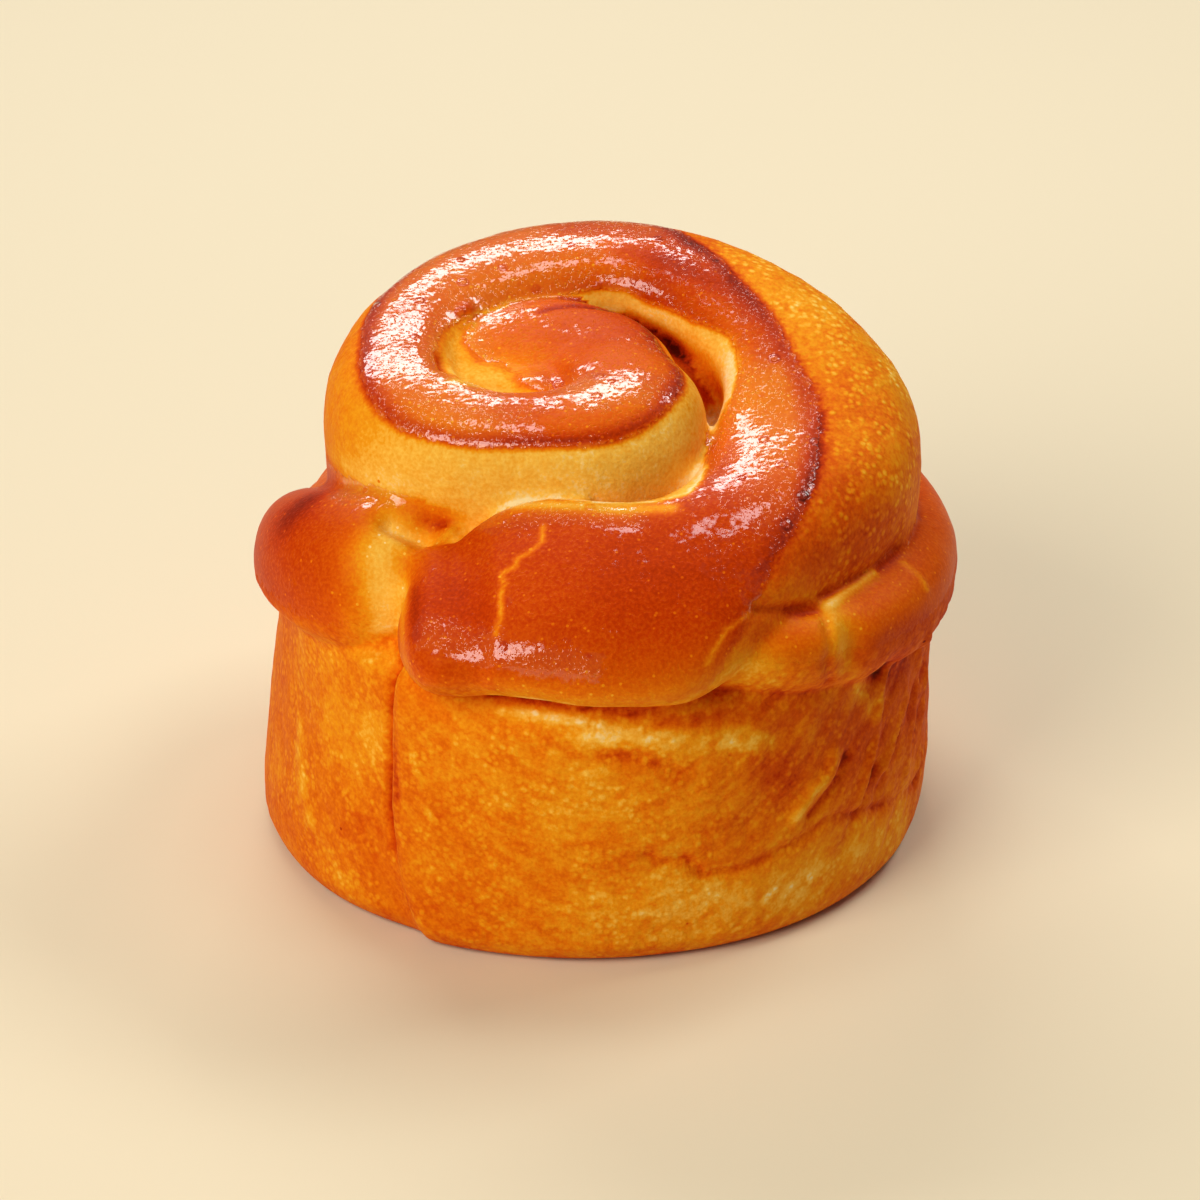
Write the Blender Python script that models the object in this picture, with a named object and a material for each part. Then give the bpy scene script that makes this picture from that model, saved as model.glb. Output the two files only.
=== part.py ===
"""Honey milk roll: a milk-bread bun rolled up like a snail, set in a round tin, glazed and baked.

One closed solid. Its straight wall took the shape of the tin. Above the rim of the tin the dough
swelled and stayed as it was rolled: a strip that winds clockwise from the heart of the snail,
climbs round the back and ends as a broad lobe over the front. Its outermost turn lies lower, as a
collar that bulges at the left and at the right. Lengths and heights are in millimetres and angles
in degrees until the finished mesh is scaled to metres.
"""

import math
from collections import namedtuple

import bmesh
import bpy
import numpy as np

MILLIMETRE = 0.001

# --- the wall that the tin shaped ---
TIN_RADIUS = 42.6
TIN_HEIGHT = 33.0         # the wall stays straight up to here
FOOT_RADIUS = 39.0        # the flat face that the roll stands on
SHOULDER_HEIGHT = 44.0    # the dough closes in over the rim up to here
CORE_RADIUS = 22.0        # the floor of the grooves between the turns
CORE_HEIGHT = 54.0
BODY_PROFILE = [          # (radius, height), from the middle of the foot out and up to the core
    (0.0, 0.0),
    (FOOT_RADIUS, 0.0),
    (TIN_RADIUS - 1.3, 0.8),
    (TIN_RADIUS - 0.3, 3.0),
    (TIN_RADIUS, 10.0),
    (TIN_RADIUS - 0.6, TIN_HEIGHT),
    (TIN_RADIUS - 1.6, TIN_HEIGHT + 3.5),
    (TIN_RADIUS - 6.6, SHOULDER_HEIGHT - 4.0),
    (CORE_RADIUS + 5.0, SHOULDER_HEIGHT),
    (CORE_RADIUS, CORE_HEIGHT - 2.0),
    (CORE_RADIUS - 4.0, CORE_HEIGHT),
    (0.0, CORE_HEIGHT),
]
WALL_SEGMENTS = 96

# --- where the wall swelled out or drew in, by its direction from the tin's axis ---
Swell = namedtuple("Swell", "direction width amount")
FOOT_SWELLS = [Swell(200, 30, 1.3), Swell(280, 25, -0.9)]
FOOT_SWELL_TOP = 26.0     # they fade upwards to nothing here
RIM_SWELLS = [Swell(352, 25, 0.7), Swell(190, 40, -1.8)]
RIM_SWELL_START = 6.0     # these grow from here
RIM_SWELL_GROWTH = 25.0   # over this height
RIM_SWELL_END = 38.0      # and are gone again here
RIM_SWELL_FADE = 5.0

# --- the crease down the wall, where the strip was tucked under at the front left ---
CREASE_AT = 232.0         # its direction from the tin's axis, at the rim
CREASE_DRIFT = 7.0        # how much further round it lies at the foot
CREASE_DEPTH = 1.5
CREASE_HALF_ANGLE = 1.1
CREASE_DRIFT_TOP = 20.0   # it runs straight down to here and drifts round below
CREASE_START = 4.0        # shallow below this height, full depth from CREASE_GROWTH above it
CREASE_GROWTH = 8.0
CREASE_FOOT_SHARE = 0.2   # the part of its depth that is left at the foot
CREASE_STEP = 0.7         # the front stands this much prouder than the left, each way
STEP_HALF_ANGLE = 1.5
STEP_SPREAD = 12.0

# --- the shallow groove across the collar at the front right, where it laps under the lobe ---
TUCK_AT = 314.0
TUCK_HEIGHT = 41.0
TUCK_DEPTH = 1.6
TUCK_HALF_ANGLE = 3.0
TUCK_HALF_HEIGHT = 6.0

# --- the wall's swells, creases and grooves act out here and fade up under the snail ---
WALL_START_RADIUS = 30.0
WALL_FULL_RADIUS = 38.0
WALL_FULL_HEIGHT = 40.0
WALL_END_HEIGHT = 50.0

# --- the rolled strip ---
# turn and reach place its crest round the heart of the snail; inner and outer are the widths on
# each side of the crest; crown is the crest's height and belly the height where it is widest;
# edge is how square the outer shoulder is: 2 is round, 3 nearly square and 1.4 a slanting face
Station = namedtuple("Station", "turn reach inner outer crown belly edge")
SNAIL_HEART = (-3.0, -3.0)
SNAIL = [
    Station(150, 15.0, 6.0, 8.0, 63.5, 57.0, 2.6),
    Station(113, 10.3, 8.5, 9.5, 65.5, 57.0, 2.6),
    Station(68, 8.0, 9.0, 8.5, 66.3, 57.0, 2.4),
    Station(8, 7.0, 9.5, 7.5, 66.5, 57.0, 2.4),
    Station(-36, 9.3, 10.0, 9.3, 66.3, 57.0, 2.4),
    Station(-79, 10.7, 9.5, 9.5, 65.7, 57.0, 2.8),
    Station(-113, 13.0, 9.5, 8.0, 65.0, 57.0, 3.0),
    Station(-141, 16.7, 9.5, 8.0, 65.0, 56.0, 3.0),
    Station(-172, 20.7, 8.0, 9.6, 66.0, 55.0, 2.7),
    Station(-202, 23.8, 8.0, 8.2, 67.0, 55.0, 2.4),
    Station(-231, 25.6, 9.0, 7.2, 68.5, 56.0, 2.4),
    Station(-261, 26.3, 9.5, 8.8, 69.8, 56.0, 2.4),
    Station(-292, 26.9, 9.5, 9.8, 70.2, 55.0, 2.4),
    Station(-321, 27.0, 9.5, 13.3, 68.5, 52.0, 2.5),
    Station(-350, 28.0, 9.0, 15.6, 65.0, 50.5, 2.5),
    Station(-374, 28.9, 11.5, 14.2, 61.5, 50.5, 2.5),
    Station(-399, 28.4, 10.0, 11.6, 59.0, 49.0, 2.3),
    Station(-425, 25.9, 3.5, 17.5, 57.5, 42.0, 1.5),
    Station(-455, 24.0, 3.5, 18.0, 57.0, 41.0, 1.4),
    Station(-471, 25.0, 4.0, 17.5, 55.0, 41.5, 1.5),
    Station(-481, 26.7, 4.0, 16.8, 52.5, 42.0, 1.7),
]
LOBE_END = 8.0            # how far the lobe's rounded end reaches past its last station
LOW_BELLY = 47.0          # a strip whose belly lies this low has a thin lip below it
LIP_DEPTH = 7.0
LIP_POWER = 2.2           # the lip is round
HIGH_BELLY = 54.5         # one whose belly lies this high hangs deep below it
DEEP_DEPTH = 18.0
DEEP_POWER = 3.2          # and its underside is nearly square
ROUND_UNDER = 12.0        # one that hangs less deep than this is round below
INNER_TOP_POWER = 2.5
INNER_SIDE_POWER = 3.0
INNER_SHOULDER = 4.0      # the least drop of the rounded inner shoulder, and its share of the width
INNER_SHOULDER_SHARE = 0.6

# --- the collar, the strip's outermost turn, placed round the tin's axis ---
COLLAR = [
    Station(216, 31.5, 5.0, 11.0, 50.0, 41.0, 2.2),
    Station(203, 33.2, 5.0, 11.0, 49.5, 40.0, 2.2),
    Station(190, 34.5, 5.0, 9.5, 47.0, 39.0, 2.2),
    Station(175, 35.1, 6.0, 7.5, 43.6, 37.0, 2.2),
    Station(158, 35.5, 6.0, 7.0, 37.0, 33.0, 2.2),
    Station(137, 36.8, 6.0, 7.0, 38.5, 35.0, 2.2),
    Station(112, 36.8, 6.0, 7.0, 41.0, 37.0, 2.2),
    Station(57, 36.9, 6.0, 7.0, 42.0, 37.0, 2.2),
    Station(25, 37.6, 6.0, 7.0, 42.0, 38.0, 2.2),
    Station(2, 39.0, 5.0, 6.4, 43.0, 38.0, 2.2),
    Station(-17, 38.6, 5.0, 7.5, 44.5, 38.5, 2.2),
    Station(-35, 37.6, 5.0, 8.2, 44.8, 39.0, 2.2),
    Station(-52, 36.6, 5.0, 8.2, 46.2, 41.2, 2.2),
    Station(-63, 34.5, 5.0, 8.0, 47.0, 43.0, 2.2),
]

# --- the roll-up's heart, where the first turn closes on itself ---
PLUG_AT = (-0.5, -0.5)
PLUG_RADIUS = 8.0
PLUG_BELLY = 56.0
PLUG_CROWN = 65.6
PLUG_ROOT = 50.0          # sunk this deep into the core
PLUG_POWER = 2.2

# --- how finely the dough is made ---
RINGS_PER_STATION = 8
CAP_RINGS = 6
CAP_POWER = 0.8           # how blunt the rounded ends of a strip are
POINTS_PER_QUARTER = 9
VOXEL = 0.8
SMOOTHING_PASSES = 4
TRIANGLES = 11400
FOOT_CUT = 0.35           # the rounded underside is cut flat this far up
WELD = 1e-4               # points nearer than this are one
SHARP_ANGLE = 60          # only the foot's rim is sharper than this

CRUST_COLOUR = (0.55, 0.19, 0.035, 1.0)
CRUST_ROUGHNESS = 0.38


def angle_between(a, b):
    return (a - b + 180) % 360 - 180


def ramp(value, start, end):
    """0 up to the start, 1 from the end on, straight in between; it may also run downwards."""
    return min(1.0, max(0.0, (value - start) / (end - start)))


def bump(angle, centre, width):
    """1 at the centre, falling to nothing over about two widths."""
    return math.exp(-(angle_between(angle, centre) / width) ** 2)


def smooth_stations(stations, steps):
    """Every value of the stations, carried smoothly through them by a Catmull-Rom spline."""
    keys = np.array(stations, float)
    keys = np.vstack([keys[0], keys, keys[-1]])
    rows = []
    for a, b, c, d in zip(keys, keys[1:], keys[2:], keys[3:]):
        for t in np.linspace(0, 1, steps, endpoint=False):
            rows.append(0.5 * (2 * b + (c - a) * t + (2 * a - 5 * b + 4 * c - d) * t ** 2
                               + (3 * b - a - 3 * c + d) * t ** 3))
    rows.append(keys[-1])
    return [Station(*row) for row in rows]


def quarter_oval(power, rising=True):
    """Points on a quarter of a superellipse; a higher power makes a squarer corner.

    Under a power of 2 the top end comes to a point, but the side end stays round.
    """
    angles = np.linspace(0, math.pi / 2, POINTS_PER_QUARTER, endpoint=False)
    if not rising:
        angles = math.pi / 2 - angles
    across, up = 2 / power, min(1.0, 2 / power)
    return [(math.cos(a) ** across, math.sin(a) ** up) for a in angles]


def strip_section(st, shrink=1.0):
    """The strip cut across: (outward, height) points, with a rounded top and a tucked-in underside."""
    hang = ramp(st.belly, LOW_BELLY, HIGH_BELLY)
    depth = (LIP_DEPTH + (DEEP_DEPTH - LIP_DEPTH) * hang) * shrink
    under_power = LIP_POWER if depth < ROUND_UNDER else DEEP_POWER
    rise = (st.crown - st.belly) * shrink
    inner, outer = st.inner * shrink, st.outer * shrink
    shoulder = max(INNER_SHOULDER, INNER_SHOULDER_SHARE * st.inner) * shrink
    top = st.belly + rise
    floor = st.belly - depth
    side = top - shoulder - floor
    points = [(c * outer, st.belly + s * rise) for c, s in quarter_oval(st.edge)]
    points += [(-c * inner, floor + side + s * shoulder) for c, s in quarter_oval(INNER_TOP_POWER, False)]
    points += [(-c * inner, floor + side - s * side) for c, s in quarter_oval(INNER_SIDE_POWER)]
    points += [(c * outer, st.belly - s * depth) for c, s in quarter_oval(under_power, False)]
    return points


def loft(bm, rings):
    """A closed skin through rings of the same number of points."""
    loops = []
    for ring in rings:
        made = bmesh.ops.create_circle(bm, segments=len(ring))["verts"]
        for vert, place in zip(made, ring):
            vert.co = place
        loops.append([vert.link_edges[0] for vert in made] + [vert.link_edges[1] for vert in made])
    for a, b in zip(loops, loops[1:]):
        bmesh.ops.bridge_loops(bm, edges=list(set(a + b)))
    bmesh.ops.holes_fill(bm, edges=[e for e in set(loops[0] + loops[-1]) if e.is_boundary])


def rolled_strip(bm, stations, centre, start_cap=None, end_cap=None):
    """A strip of dough laid along its stations, both ends rounded off."""
    rows = smooth_stations(stations, RINGS_PER_STATION)
    turns = np.radians([st.turn for st in rows])
    reach = np.array([st.reach for st in rows])
    path = np.c_[centre[0] + reach * np.cos(turns), centre[1] + reach * np.sin(turns)]
    ahead = np.gradient(path, axis=0)
    ahead /= np.linalg.norm(ahead, axis=1)[:, None]
    outward = np.c_[-ahead[:, 1], ahead[:, 0]]

    def ring(i, shrink=1.0, push=0.0):
        origin = path[i] + ahead[i] * push
        return [(*(origin + outward[i] * t), z) for t, z in strip_section(rows[i], shrink)]

    def cap(i, length):
        angles = [(n + 0.5) / CAP_RINGS * math.pi / 2 for n in range(CAP_RINGS)]
        return [ring(i, math.sin(a) ** CAP_POWER, math.cos(a) ** CAP_POWER * length) for a in angles]

    first, last = rows[0], rows[-1]
    start_cap = start_cap or (first.inner + first.outer) / 2
    end_cap = end_cap or (last.inner + last.outer) / 2
    rings = cap(0, -start_cap)
    rings += [ring(i) for i in range(len(rows))]
    rings += reversed(cap(len(rows) - 1, end_cap))
    loft(bm, rings)


def turned_body(bm, profile, centre=(0.0, 0.0)):
    """A solid turned about an upright axis from (radius, height) points."""
    verts = [bm.verts.new((centre[0] + r, centre[1], z)) for r, z in profile]
    edges = [bm.edges.new(pair) for pair in zip(verts, verts[1:])]
    bmesh.ops.spin(bm, geom=verts + edges, cent=(*centre, 0), axis=(0, 0, 1), angle=2 * math.pi,
                   steps=WALL_SEGMENTS, use_merge=True)


def heart_plug(bm):
    """The dough inside the first turn, a low dome that closes the middle of the snail."""
    rise = PLUG_CROWN - PLUG_BELLY
    dome = [(c * PLUG_RADIUS, PLUG_BELLY + s * rise) for c, s in quarter_oval(PLUG_POWER)]
    turned_body(bm, [(0, PLUG_ROOT), (PLUG_RADIUS, PLUG_ROOT)] + dome + [(0, PLUG_CROWN)], PLUG_AT)


def wall_swell(azimuth, height):
    """How far the baked wall stands out of, or in from, the round of the tin."""
    low = ramp(height, FOOT_SWELL_TOP, 0.0)
    high = ramp(height, RIM_SWELL_START, RIM_SWELL_START + RIM_SWELL_GROWTH)
    high *= ramp(height, RIM_SWELL_END, RIM_SWELL_END - RIM_SWELL_FADE)
    swell = low * sum(s.amount * bump(azimuth, s.direction, s.width) for s in FOOT_SWELLS)
    swell += high * sum(s.amount * bump(azimuth, s.direction, s.width) for s in RIM_SWELLS)
    tuck = bump(azimuth, TUCK_AT, TUCK_HALF_ANGLE) * bump(height, TUCK_HEIGHT, TUCK_HALF_HEIGHT)
    swell -= TUCK_DEPTH * tuck
    crease_at = CREASE_AT + CREASE_DRIFT * ramp(height, CREASE_DRIFT_TOP, 0.0) ** 1.5
    grown = ramp(height, CREASE_START, CREASE_START + CREASE_GROWTH)
    depth = CREASE_DEPTH * (CREASE_FOOT_SHARE + (1 - CREASE_FOOT_SHARE) * grown)
    swell -= depth * bump(azimuth, crease_at, CREASE_HALF_ANGLE)
    step = math.tanh(angle_between(azimuth, crease_at) / STEP_HALF_ANGLE)
    return swell + CREASE_STEP * step * bump(azimuth, crease_at, STEP_SPREAD)


def shape_wall(mesh):
    """Moves the wall in and out by its swell, fading to nothing up under the snail."""
    for vert in mesh.vertices:
        x, y, z = vert.co
        radius = math.hypot(x, y)
        hold = ramp(radius, WALL_START_RADIUS, WALL_FULL_RADIUS)
        hold *= ramp(z, WALL_END_HEIGHT, WALL_FULL_HEIGHT)
        if hold:
            scale = 1 + hold * wall_swell(math.degrees(math.atan2(y, x)), z) / radius
            vert.co.x *= scale
            vert.co.y *= scale


def fused(obj, *modifiers):
    """The object's mesh with the modifiers applied, each given as (type, settings)."""
    for kind, settings in modifiers:
        modifier = obj.modifiers.new(kind.lower(), kind)
        for name, value in settings.items():
            setattr(modifier, name, value)
    depsgraph = bpy.context.evaluated_depsgraph_get()
    mesh = bpy.data.meshes.new_from_object(obj.evaluated_get(depsgraph))
    obj.modifiers.clear()
    obj.data = mesh
    return mesh


def flatten_foot(mesh):
    """Cuts the underside flat and stands the mesh on it, centred over the origin."""
    bm = bmesh.new()
    bm.from_mesh(mesh)
    bmesh.ops.bisect_plane(bm, geom=bm.verts[:] + bm.edges[:] + bm.faces[:], dist=WELD,
                           plane_co=(0, 0, FOOT_CUT), plane_no=(0, 0, -1), clear_outer=True)
    bmesh.ops.holes_fill(bm, edges=[e for e in bm.edges if e.is_boundary])
    bmesh.ops.dissolve_degenerate(bm, edges=bm.edges[:], dist=10 * WELD)
    bmesh.ops.triangulate(bm, faces=bm.faces[:])
    bmesh.ops.recalc_face_normals(bm, faces=bm.faces[:])
    xs = [v.co.x for v in bm.verts]
    ys = [v.co.y for v in bm.verts]
    middle = ((min(xs) + max(xs)) / 2, (min(ys) + max(ys)) / 2, FOOT_CUT)
    bmesh.ops.translate(bm, vec=[-m for m in middle], verts=bm.verts[:])
    bmesh.ops.scale(bm, vec=[MILLIMETRE] * 3, verts=bm.verts[:])
    bm.to_mesh(mesh)
    bm.free()


def crust_material():
    material = bpy.data.materials.new("crust")
    material.use_nodes = True
    shader = material.node_tree.nodes["Principled BSDF"]
    shader.inputs["Base Color"].default_value = CRUST_COLOUR
    shader.inputs["Roughness"].default_value = CRUST_ROUGHNESS
    shader.inputs["Metallic"].default_value = 0.0
    return material


def milk_roll():
    bm = bmesh.new()
    rolled_strip(bm, SNAIL, SNAIL_HEART, end_cap=LOBE_END)
    rolled_strip(bm, COLLAR, (0.0, 0.0))
    turned_body(bm, BODY_PROFILE)
    heart_plug(bm)
    bmesh.ops.remove_doubles(bm, verts=bm.verts[:], dist=WELD)
    bmesh.ops.recalc_face_normals(bm, faces=bm.faces[:])
    mesh = bpy.data.meshes.new("milk_roll")
    bm.to_mesh(mesh)
    bm.free()
    roll = bpy.data.objects.new("milk_roll", mesh)
    bpy.context.scene.collection.objects.link(roll)

    # the turns bake into one piece: one skin over them all, its creases softened a little
    mesh = fused(roll, ("REMESH", {"mode": "VOXEL", "voxel_size": VOXEL}),
                 ("SMOOTH", {"factor": 0.5, "iterations": SMOOTHING_PASSES}))
    shape_wall(mesh)
    triangles = sum(len(face.vertices) - 2 for face in mesh.polygons)
    mesh = fused(roll, ("DECIMATE", {"ratio": TRIANGLES / triangles}))
    flatten_foot(mesh)
    mesh.shade_smooth()
    mesh.set_sharp_from_angle(angle=math.radians(SHARP_ANGLE))
    mesh.materials.clear()
    mesh.materials.append(crust_material())
    return roll


for old in list(bpy.data.objects):
    bpy.data.objects.remove(old, do_unlink=True)
milk_roll()
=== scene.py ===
import math
from collections import namedtuple

import bmesh
import bpy
import numpy as np
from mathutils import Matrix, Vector, noise
from mathutils.kdtree import KDTree


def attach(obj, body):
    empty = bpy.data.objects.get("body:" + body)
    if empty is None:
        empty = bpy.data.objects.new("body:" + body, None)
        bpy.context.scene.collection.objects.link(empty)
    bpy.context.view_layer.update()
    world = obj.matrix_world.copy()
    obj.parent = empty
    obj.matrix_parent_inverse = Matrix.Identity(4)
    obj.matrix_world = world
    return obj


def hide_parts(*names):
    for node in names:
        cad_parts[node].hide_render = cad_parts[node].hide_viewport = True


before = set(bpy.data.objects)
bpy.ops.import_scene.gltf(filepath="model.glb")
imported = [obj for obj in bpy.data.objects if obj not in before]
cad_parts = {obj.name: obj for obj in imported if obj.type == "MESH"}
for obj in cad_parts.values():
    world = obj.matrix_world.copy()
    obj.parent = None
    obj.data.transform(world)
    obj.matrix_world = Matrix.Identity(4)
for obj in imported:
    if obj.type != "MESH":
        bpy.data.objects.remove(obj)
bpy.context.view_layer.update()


# ---------------------------------------------------------------------------------------------
# Milk roll: soft enriched dough, rolled up like a snail and baked in a round tin. The tin left the
# wall matte. The tops were brushed with egg and baked to a glossy orange-brown skin with fine
# wrinkles and small blisters, and the dough stayed pale where its turns touched.
# ---------------------------------------------------------------------------------------------

# lengths are in millimetres from the tin's axis and angles in degrees, until the mesh is finished
MILLIMETRE = 0.001
TIN_AXIS = (1.1085, -0.8946, 0.35)     # where the part's origin lies, seen from the tin's axis

# the wall, shaped by the tin, and the core that carries the snail: points of (radius, height)
TIN_RADIUS = 42.6
TIN_HEIGHT = 33.0
FOOT_RADIUS = 39.0
SHOULDER_HEIGHT = 44.0
CORE_RADIUS = 22.0
CORE_HEIGHT = 54.0
BODY_PROFILE = [
    (0.0, 0.0), (FOOT_RADIUS, 0.0), (TIN_RADIUS - 1.3, 0.8), (TIN_RADIUS - 0.3, 3.0),
    (TIN_RADIUS, 10.0), (TIN_RADIUS - 0.6, TIN_HEIGHT), (TIN_RADIUS - 1.6, TIN_HEIGHT + 3.5),
    (TIN_RADIUS - 6.6, SHOULDER_HEIGHT - 4.0), (CORE_RADIUS + 5.0, SHOULDER_HEIGHT),
    (CORE_RADIUS, CORE_HEIGHT - 2.0), (CORE_RADIUS - 4.0, CORE_HEIGHT), (0.0, CORE_HEIGHT),
]
TURNED_STEPS = 128
POINTS_PER_QUARTER = 12


def turned_body(bm, profile, centre=(0.0, 0.0)):
    """A solid turned about an upright axis from (radius, height) points."""
    verts = [bm.verts.new((centre[0] + r, centre[1], z)) for r, z in profile]
    edges = [bm.edges.new(pair) for pair in zip(verts, verts[1:])]
    bmesh.ops.spin(bm, geom=verts + edges, cent=(*centre, 0), axis=(0, 0, 1), angle=2 * math.pi,
                   steps=TURNED_STEPS, use_merge=True)


def quarter_oval(power, rising=True):
    """Points on a quarter of a superellipse; a higher power makes a squarer corner."""
    angles = np.linspace(0, math.pi / 2, POINTS_PER_QUARTER, endpoint=False)
    if not rising:
        angles = math.pi / 2 - angles
    across, up = 2 / power, min(1.0, 2 / power)
    return [(math.cos(a) ** across, math.sin(a) ** up) for a in angles]


# the strip of dough by its stations: turn about the centre, reach out to the crest, the widths
# inward and outward of the crest, the heights of the crest and of the belly where the flank is
# widest, how square the outer edge is and how much the top rises outward; the snail runs from its
# heart, round the back and out to the broad lobe, and the collar is the lower, outermost turn
Station = namedtuple("Station", "turn reach inner outer crown belly edge tilt", defaults=(0.0,))
SNAIL_HEART = (-3.0, -3.0)
SNAIL = [Station(*row) for row in (
    (150, 15.0, 10.5, 8.0, 64.2, 57.0, 2.6, 0.16), (113, 10.3, 13.5, 9.5, 65.6, 57.0, 2.6, 0.20),
    (68, 8.0, 10.5, 8.5, 66.2, 57.0, 2.4, 0.14), (8, 7.0, 9.5, 7.5, 66.5, 57.0, 2.4),
    (-36, 9.3, 9.0, 9.3, 66.3, 57.0, 2.4), (-79, 10.7, 6.5, 9.5, 65.7, 57.0, 2.8, -0.06),
    (-113, 13.0, 4.6, 8.0, 65.3, 57.0, 3.0, -0.16), (-141, 16.7, 5.2, 8.0, 65.3, 56.0, 3.0, -0.16),
    (-172, 20.7, 6.6, 9.6, 66.0, 55.0, 2.7, -0.06), (-202, 23.8, 8.0, 8.2, 67.0, 55.0, 2.4),
    (-231, 25.6, 9.0, 7.2, 68.5, 56.0, 2.4), (-261, 26.3, 9.5, 8.8, 69.8, 56.0, 2.4),
    (-292, 26.9, 9.5, 9.8, 70.2, 55.0, 2.4), (-321, 27.0, 9.5, 13.3, 68.5, 52.0, 2.5),
    (-350, 28.0, 9.0, 15.6, 65.0, 50.5, 2.5), (-374, 28.9, 11.5, 14.2, 61.5, 50.5, 2.5),
    (-399, 28.4, 10.0, 11.6, 59.0, 49.0, 2.3), (-425, 25.9, 3.5, 17.5, 57.5, 42.8, 1.8, -0.12),
    (-455, 24.0, 3.8, 18.7, 57.0, 43.7, 2.5, -0.30), (-471, 25.0, 3.4, 18.2, 55.0, 43.9, 2.7, -0.28),
    (-481, 27.5, 2.0, 16.6, 51.6, 43.2, 2.5, -0.20),
)]
LOBE_END = 7.0                         # how far the lobe's rounded end runs on past its last station
COLLAR_CENTRE = (0.0, 0.0)
COLLAR_EDGE = 2.2
COLLAR = [Station(*row[:6], COLLAR_EDGE, *row[6:]) for row in (
    (227, 29.4, 7.0, 8.2, 52.0, 43.0, -0.14), (216, 30.6, 8.0, 11.6, 53.8, 41.0, -0.12),
    (203, 33.0, 6.0, 11.2, 52.2, 40.0, -0.10), (190, 34.5, 5.0, 9.5, 48.8, 39.0),
    (175, 35.1, 6.0, 7.5, 43.6, 37.0),
    (158, 35.5, 6.0, 7.0, 37.0, 33.0), (137, 36.8, 6.0, 7.0, 38.5, 35.0),
    (112, 36.8, 6.0, 7.0, 41.0, 37.0), (57, 36.9, 6.0, 7.0, 42.0, 37.0),
    (25, 37.6, 6.0, 7.0, 42.0, 38.0), (2, 39.0, 5.0, 6.4, 43.0, 38.0),
    (-17, 38.6, 5.0, 7.5, 44.5, 38.5), (-35, 37.6, 5.0, 8.2, 44.8, 39.0),
    (-52, 36.6, 5.0, 8.2, 46.2, 41.2), (-63, 34.5, 5.0, 8.0, 47.0, 43.0),
)]

INNER_EDGE = 2.5                       # how square the inner shoulder is, and the foot under it
INNER_FOOT = 3.0
SMALLEST_SHOULDER = 4.0                # how far down the inner shoulder curves, and the share of the
SHOULDER_SHARE = 0.6                   # inward width that this is on a wide strip
DEPTHS = (7.0, 18.0)                   # from the belly down to the underside, on the low and the
DEPTH_BELLIES = (47.0, 54.5)           # high parts of the strip, and the belly heights of those
DEEP = 12.0
SHALLOW_UNDERSIDE = 2.2                # how square the underside is
DEEP_UNDERSIDE = 3.2
RINGS_PER_STATION = 12
CAP_RINGS = 6
CAP_POWER = 0.8                        # makes the ends a little blunter than round


def ramp(value, start, end):
    """0 up to the start, 1 from the end on, straight in between; it may also run downwards."""
    return np.clip((value - start) / (end - start), 0.0, 1.0)


def smooth_stations(stations, steps):
    """Every value of the stations, carried smoothly through them by a Catmull-Rom spline."""
    keys = np.array(stations, float)
    keys = np.vstack([keys[0], keys, keys[-1]])
    rows = []
    for a, b, c, d in zip(keys, keys[1:], keys[2:], keys[3:]):
        for t in np.linspace(0, 1, steps, endpoint=False):
            rows.append(0.5 * (2 * b + (c - a) * t + (2 * a - 5 * b + 4 * c - d) * t ** 2
                               + (3 * b - a - 3 * c + d) * t ** 3))
    rows.append(keys[-1])
    return [Station(*row) for row in rows]


def shoulder_drop(station):
    """How far below the crest the strip's inner flank becomes upright."""
    return max(SMALLEST_SHOULDER, SHOULDER_SHARE * station.inner)


def strip_section(station, shrink=1.0):
    """The strip cut across: (outward, height) points, with a rounded top and a tucked-in underside."""
    shallow, deep = DEPTHS
    depth = (shallow + (deep - shallow) * ramp(station.belly, *DEPTH_BELLIES)) * shrink
    underside = SHALLOW_UNDERSIDE if depth < DEEP else DEEP_UNDERSIDE
    rise = (station.crown - station.belly) * shrink
    inner, outer = station.inner * shrink, station.outer * shrink
    shoulder = shoulder_drop(station) * shrink
    top = station.belly + rise
    floor = station.belly - depth
    side = top - shoulder - floor
    points = [(c * outer, station.belly + s * rise) for c, s in quarter_oval(station.edge)]
    points += [(-c * inner, floor + side + s * shoulder) for c, s in quarter_oval(INNER_EDGE, False)]
    points += [(-c * inner, floor + side - s * side) for c, s in quarter_oval(INNER_FOOT)]
    points += [(c * outer, station.belly - s * depth) for c, s in quarter_oval(underside, False)]
    return [(t, z + station.tilt * t * max(0.0, z - station.belly) / rise) for t, z in points]


def strip_path(stations, centre, steps):
    """The crest's way over the ground, with the directions ahead and outward at each row."""
    rows = smooth_stations(stations, steps)
    turns = np.radians([row.turn for row in rows])
    reach = np.array([row.reach for row in rows])
    path = np.c_[centre[0] + reach * np.cos(turns), centre[1] + reach * np.sin(turns)]
    ahead = np.gradient(path, axis=0)
    ahead /= np.linalg.norm(ahead, axis=1)[:, None]
    return rows, path, ahead, np.c_[-ahead[:, 1], ahead[:, 0]]


def loft(bm, rings):
    """A closed skin through rings of the same number of points."""
    loops = []
    for ring in rings:
        made = bmesh.ops.create_circle(bm, segments=len(ring))["verts"]
        for vert, place in zip(made, ring):
            vert.co = place
        loops.append([vert.link_edges[0] for vert in made] + [vert.link_edges[1] for vert in made])
    for a, b in zip(loops, loops[1:]):
        bmesh.ops.bridge_loops(bm, edges=list(set(a + b)))
    bmesh.ops.holes_fill(bm, edges=[e for e in set(loops[0] + loops[-1]) if e.is_boundary])


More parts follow.
